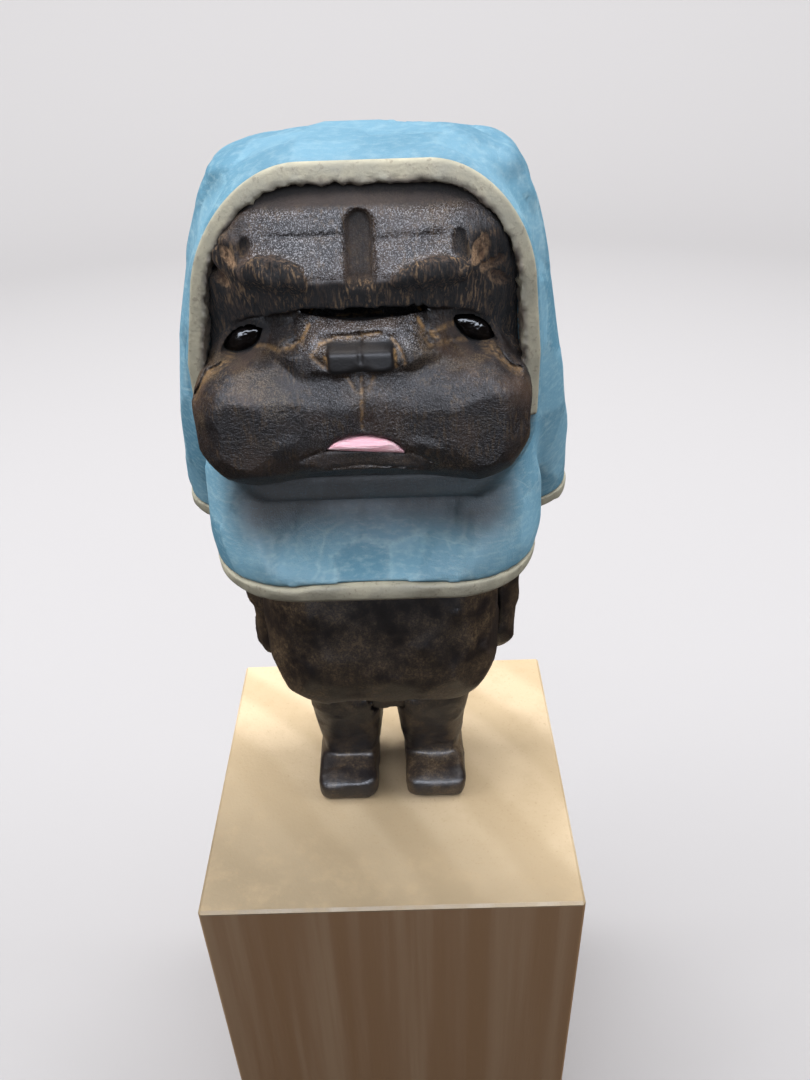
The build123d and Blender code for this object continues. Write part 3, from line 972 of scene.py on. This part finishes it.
def blue_paint():
    """Thin matte blue: rubbed pale on ridges, painted shade on the crown, painted shade and grime
    below the chin.
    """
    n = Nodes("blue_paint")
    base, deep, pale = (0.145, 0.31, 0.42), (0.08, 0.215, 0.31), (0.33, 0.48, 0.54)
    cloud = n.noise((130, 130, 130), 4, 0.6)
    tone = n.math("ADD", n.math("MULTIPLY", n.mark("tone"), 0.35), n.math("MULTIPLY", cloud, 0.65))
    colour = n.mix(n.ramp(tone, 0.30, 0.72), deep, base)
    brush = n.noise((900, 900, 2600), 3, 0.6)
    colour = n.mix(n.ramp(brush, 0.42, 0.78, 0, 0.40), colour, pale)
    cells = n.add("ShaderNodeTexVoronoi", feature="DISTANCE_TO_EDGE")
    swirl = n.add("ShaderNodeVectorMath", operation="MULTIPLY_ADD")
    n.link(n.noise((160, 160, 160), 2), swirl.inputs[0])
    swirl.inputs[1].default_value = (1.2, 1.2, 1.2)
    n.link(n.stretched((75, 75, 170)), swirl.inputs[2])
    n.link(swirl.outputs["Vector"], cells.inputs["Vector"])
    cells.inputs["Scale"].default_value = 1.0
    vein = n.math("MULTIPLY", n.ramp(cells.outputs["Distance"], 0.035, 0.0), n.ramp(cloud, 0.46, 0.6))
    colour = n.mix(n.math("MULTIPLY", vein, 0.35), colour, pale)
    rubbed = n.math("MULTIPLY", n.mark("ridge"), n.ramp(n.noise((420, 420, 420), 4, 0.65), 0.44, 0.62))
    colour = n.mix(n.math("MULTIPLY", rubbed, 0.35), colour, pale)
    # Painted shade: the hood's top darkened towards a deep blue.
    colour = n.mix(n.math("MULTIPLY", n.mark("crown"), 0.42), colour, (0.07, 0.16, 0.235))
    # Painted shade with grime: the blue under the chin darkened towards grey.
    chin_shade_and_grime = n.math("MULTIPLY", n.mark("chin_shade_and_grime"), n.ramp(cloud, 0.3, 0.6, 0.75, 0.95))
    colour = n.mix(chin_shade_and_grime, colour, (0.036, 0.034, 0.033))
    roughness = n.ramp(cloud, 0.3, 0.7, 0.62, 0.78)
    grit = n.noise((6000, 6000, 6000), 2, 0.7)
    colour = n.mix(n.ramp(grit, 0.42, 0.30, 0, 0.30), colour, deep)
    fine = n.bump(grit, 0.00007, 0.9)
    grain = n.noise((1100, 1100, 160), 3)
    return n.finish(colour, roughness, n.bump(grain, 0.00012, 0.6, fine), Specular_IOR_Level=0.35)


def beige_paint():
    """Matte grey-beige paint, scuffed brown at the band's edges."""
    n = Nodes("beige_paint")
    base, grey, scuff = (0.38, 0.365, 0.28), (0.28, 0.275, 0.215), (0.12, 0.095, 0.07)
    cloud = n.noise((320, 320, 320), 4, 0.6)
    colour = n.mix(n.ramp(cloud, 0.35, 0.7), grey, base)
    chips = n.ramp(n.noise((1500, 1500, 1500), 4, 0.65), 0.56, 0.68)
    colour = n.mix(n.math("MULTIPLY", chips, 0.45), colour, scuff)
    colour = n.mix(n.math("MULTIPLY", n.mark("edge"), n.ramp(cloud, 0.35, 0.6)), colour, scuff)
    roughness = n.ramp(cloud, 0.3, 0.7, 0.6, 0.78)
    fine = n.bump(n.noise((3000, 3000, 3000), 3), 0.00007, 0.8)
    return n.finish(colour, roughness, fine, Specular_IOR_Level=0.35)


def pink_paint():
    n = Nodes("pink_paint")
    streak = n.noise((500, 500, 3800), 3, 0.6)
    colour = n.mix(n.ramp(streak, 0.35, 0.7), (0.95, 0.45, 0.58), (1.0, 0.70, 0.80))
    return n.finish(colour, n.ramp(streak, 0.3, 0.7, 0.45, 0.6), n.bump(streak, 0.00016, 1.0))


def black_gloss():
    n = Nodes("black_gloss")
    cloud = n.noise((900, 900, 900), 2)
    colour = n.mix(cloud, (0.004, 0.004, 0.005), (0.010, 0.008, 0.008))
    roughness = n.ramp(cloud, 0.3, 0.7, 0.08, 0.2)
    return n.finish(colour, roughness, n.bump(cloud, 0.00025, 0.9), Specular_IOR_Level=0.3)


def block_wood():
    """Bare timber: growth bands across the end grain, upright streaks on the sides, and painted shade
    darkening the sides and the front-left.
    """
    n = Nodes("block_wood")
    pale, tan = (0.58, 0.465, 0.31), (0.42, 0.32, 0.19)
    rings = n.add("ShaderNodeTexWave", wave_type="RINGS", rings_direction="Z")
    shift = n.add("ShaderNodeMapping")
    n.link(n.place, shift.inputs["Vector"])
    shift.inputs["Location"].default_value = (0.11, 0.09, 0)
    n.link(shift.outputs["Vector"], rings.inputs["Vector"])
    for name, value in (("Scale", 24.0), ("Distortion", 2.2), ("Detail", 2.0), ("Detail Scale", 1.2)):
        rings.inputs[name].default_value = value
    colour = n.mix(n.ramp(rings.outputs["Fac"], 0.2, 0.9, 0.0, 0.6), pale, tan)
    colour = n.mix(n.ramp(n.noise((38, 38, 12), 3), 0.42, 0.62, 0, 0.45), colour, tan)
    apart = n.add("ShaderNodeSeparateXYZ")
    n.link(n.place, apart.inputs["Vector"])
    # Painted shade: darker towards the block's front-left.
    corner = n.math("ADD", apart.outputs["Y"], n.math("MULTIPLY", apart.outputs["X"], 0.4))
    colour = n.mix(n.ramp(corner, 0.004, -0.032, 0, 0.95), colour, (0.215, 0.170, 0.105))
    # Painted shade: the sides darker and warmer than the top.
    side = n.ramp(apart.outputs["Z"], PEDESTAL_TOP - 0.0003, PEDESTAL_TOP - 0.0009)
    colour = n.mix(n.math("MULTIPLY", side, 0.85), colour, (0.275, 0.155, 0.075))
    streak = n.noise((300, 300, 7), 4, 0.6)
    colour = n.mix(n.ramp(streak, 0.42, 0.75, 0, 0.3), colour, tan)
    pores = n.ramp(n.noise((2400, 2400, 60), 3), 0.58, 0.75, 0, 0.3)
    colour = n.mix(pores, colour, (0.30, 0.20, 0.115))
    roughness = n.ramp(streak, 0.3, 0.7, 0.5, 0.68)
    fine = n.bump(n.noise((1800, 1800, 70), 3), 0.00008, 0.7)
    return n.finish(colour, roughness, fine, Specular_IOR_Level=0.4)


def birch_dowel():
    n = Nodes("birch_dowel")
    streak = n.noise((900, 900, 60), 4, 0.6)
    colour = n.mix(n.ramp(streak, 0.35, 0.7), (0.64, 0.50, 0.33), (0.48, 0.35, 0.21))
    return n.finish(colour, n.ramp(streak, 0.3, 0.7, 0.55, 0.7), n.bump(streak, 0.0001, 0.7))


def pin_steel():
    n = Nodes("pin_steel")
    drawn = n.noise((2600, 2600, 120), 3, 0.6)
    colour = n.mix(n.ramp(drawn, 0.35, 0.7), (0.50, 0.50, 0.52), (0.62, 0.62, 0.64))
    roughness = n.ramp(drawn, 0.3, 0.7, 0.26, 0.42)
    return n.finish(colour, roughness, n.bump(drawn, 0.00004, 0.7), Metallic=1.0)


# Build


def build_head(material):
    points, faces = sculpt(head_form, (-18, -27, 64), (18, 8, 98), FACE_STEP)
    x, y, z = points.T
    marks = face_zones(x, z)
    forward = smooth_step(-15.0, -18.0, y)
    hairs = noise(np.stack((x * 2.3 + 0.5 * z, z * 0.5), 1), 1.0, 3) * marks["hair"]
    normals = vertex_normals(points, faces)
    points = points + normals * (0.24 * hairs * forward)[:, None]
    moved = knife_facets(points, faces, 2.6, 11, wander=0.4)[0]
    muzzle = smooth_step(83.0, 80.5, z) * 0.35 + 0.12
    points = points + (moved - points) * muzzle[:, None]
    points[:, 1] = np.maximum(points[:, 1], -25.95)
    zones = {name: strength * forward for name, strength in marks.items()}
    # The pocket under the brow takes the nose pad's near-black as painted shade in the recess.
    zones["pad"] = np.maximum(zones["pad"], smooth_step(0.25, 0.08, pocket_form((x, y, z))))
    make_piece(
        "carved_head", points, faces, "figure", material, ["head"], zones
    )


def build_cape(blue, beige):
    points, faces = sculpt(cape_form, (-25.5, -25.5, 54), (25.5, 19, 100.5), CAPE_STEP)
    moved, ridge, tone = knife_facets(points, faces, 4.6, 5, stretch=(1, 1, 1.3))
    beside = skull_outline(points[:, 0], points[:, 2]) + 0.6 * np.maximum(points[:, 1] + 20, 0)
    share = 0.45 * smooth_step(2.0, 4.5, beside) * smooth_step(55.8, 58.5, points[:, 2])
    points = points + share[:, None] * (moved - points)
    x, y, z = points.T
    # Painted shade on the hood's top, strongest at the crown.
    crown = smooth_step(93.5, 97.5, z + 0.1 * x)
    # Painted shade and grime: darker blue under the chin, in front of the neck.
    chin_shade_and_grime = smooth_step(58.0, 62.5, z) * smooth_step(72.0, 69.0, z)
    chin_shade_and_grime = chin_shade_and_grime * smooth_step(-12.0, -15.0, y) * smooth_step(17.5, 12.0, np.abs(x))
    make_piece(
        "carved_cape",
        points,
        faces,
        "figure",
        blue,
        ["hooded_cape"],
        {"ridge": ridge, "tone": tone, "crown": crown, "chin_shade_and_grime": chin_shade_and_grime},
    )
    points, faces = sculpt(hem_form, (-25.5, -25.5, 52), (25.5, 19, 56.4), CAPE_STEP * 0.8)
    moved = knife_facets(points, faces, 3.2, 8)[0]
    points = points + 0.25 * (moved - points)
    edge = 0.5 * smooth_step(HEM_LOW + 0.5, HEM_LOW, points[:, 2])
    make_piece("hem_band", points, faces, "figure", beige, ["hem_trim"], {"edge": edge})
    points, faces = sculpt(band_form, (-18.5, -22.2, 73), (18.5, -18, 99.2), FACE_STEP * 0.9)
    arch = skull_outline(points[:, 0], points[:, 2], 0.0)
    inner = smooth_step(0.75, 0.0, arch)
    ragged = noise(points, 1.6, 21) + 0.6 * noise(points, 3.2, 22)
    normals = vertex_normals(points, faces)
    points = points - normals * (inner * 0.22 * (ragged + 0.3))[:, None]
    make_piece(
        "face_band", points, faces, "figure", beige, ["face_trim"], {"edge": inner}
    )


def build_body(material):
    def carve(name, form, low, high, spacing, seed, replaced, share=0.6):
        points, faces = sculpt(form, low, high, BODY_STEP)
        moved, ridge = knife_facets(points, faces, spacing, seed)[:2]
        points = points + share * (moved - points)
        marks = {"ridge": ridge}
        make_piece(name, points, faces, "figure", material, [replaced], marks)

    carve("carved_torso", torso_form, (-17, -15.5, 15), (17, 13, 69), 5.0, 31, "torso")
    for side, sign in (("left", -1), ("right", 1)):
        middle = sign * 7.0
        carve(
            f"carved_{side}_leg",
            lambda p: leg_form(p, sign),
            (middle - 7.5, -9, -0.6),
            (middle + 7.5, 8, 25),
            3.4,
            40 + sign,
            f"{side}_leg",
            0.4,
        )
        middle = sign * 16.1
        carve(
            f"carved_{side}_arm",
            lambda p: arm_form(p, sign),
            (middle - 4, -4.5, 24.5),
            (middle + 4, 6.5, 60.5),
            4.0,
            50 + sign,
            f"{side}_arm",
        )


def build_small(pink, black):
    points, faces = sculpt(tongue_form, (-4.5, -26, 71.2), (4.9, -19, 75), SMALL_STEP)
    make_piece("tongue_blade", points, faces, "figure", pink, ["tongue"])
    for side, ends in EYES.items():
        middle = (ends[0][0] + ends[1][0]) / 2
        points, faces = sculpt(
            lambda p: eye_bead(p, ends),
            (middle - 3.0, -21.5, 79.9),
            (middle + 3.0, -15.4, 85.2),
            SMALL_STEP,
        )
        make_piece(f"{side}_eye_bead", points, faces, "figure", black, [f"{side}_eye"])


def dress_frame():
    """Gives the CAD pieces that stay their own materials."""
    timber, birch, steel = block_wood(), birch_dowel(), pin_steel()
    for name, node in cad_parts.items():
        if name == "pedestal_block":
            material = timber
        elif name.endswith("_dowel"):
            material = birch
        elif name.endswith("_foot_pin"):
            material = steel
        else:
            continue
        node.data.materials.clear()
        node.data.materials.append(material)


make_camera()
make_studio()
make_stage()
build_head(face_wood())
build_cape(blue_paint(), beige_paint())
build_body(body_wood())
build_small(pink_paint(), black_gloss())
dress_frame()
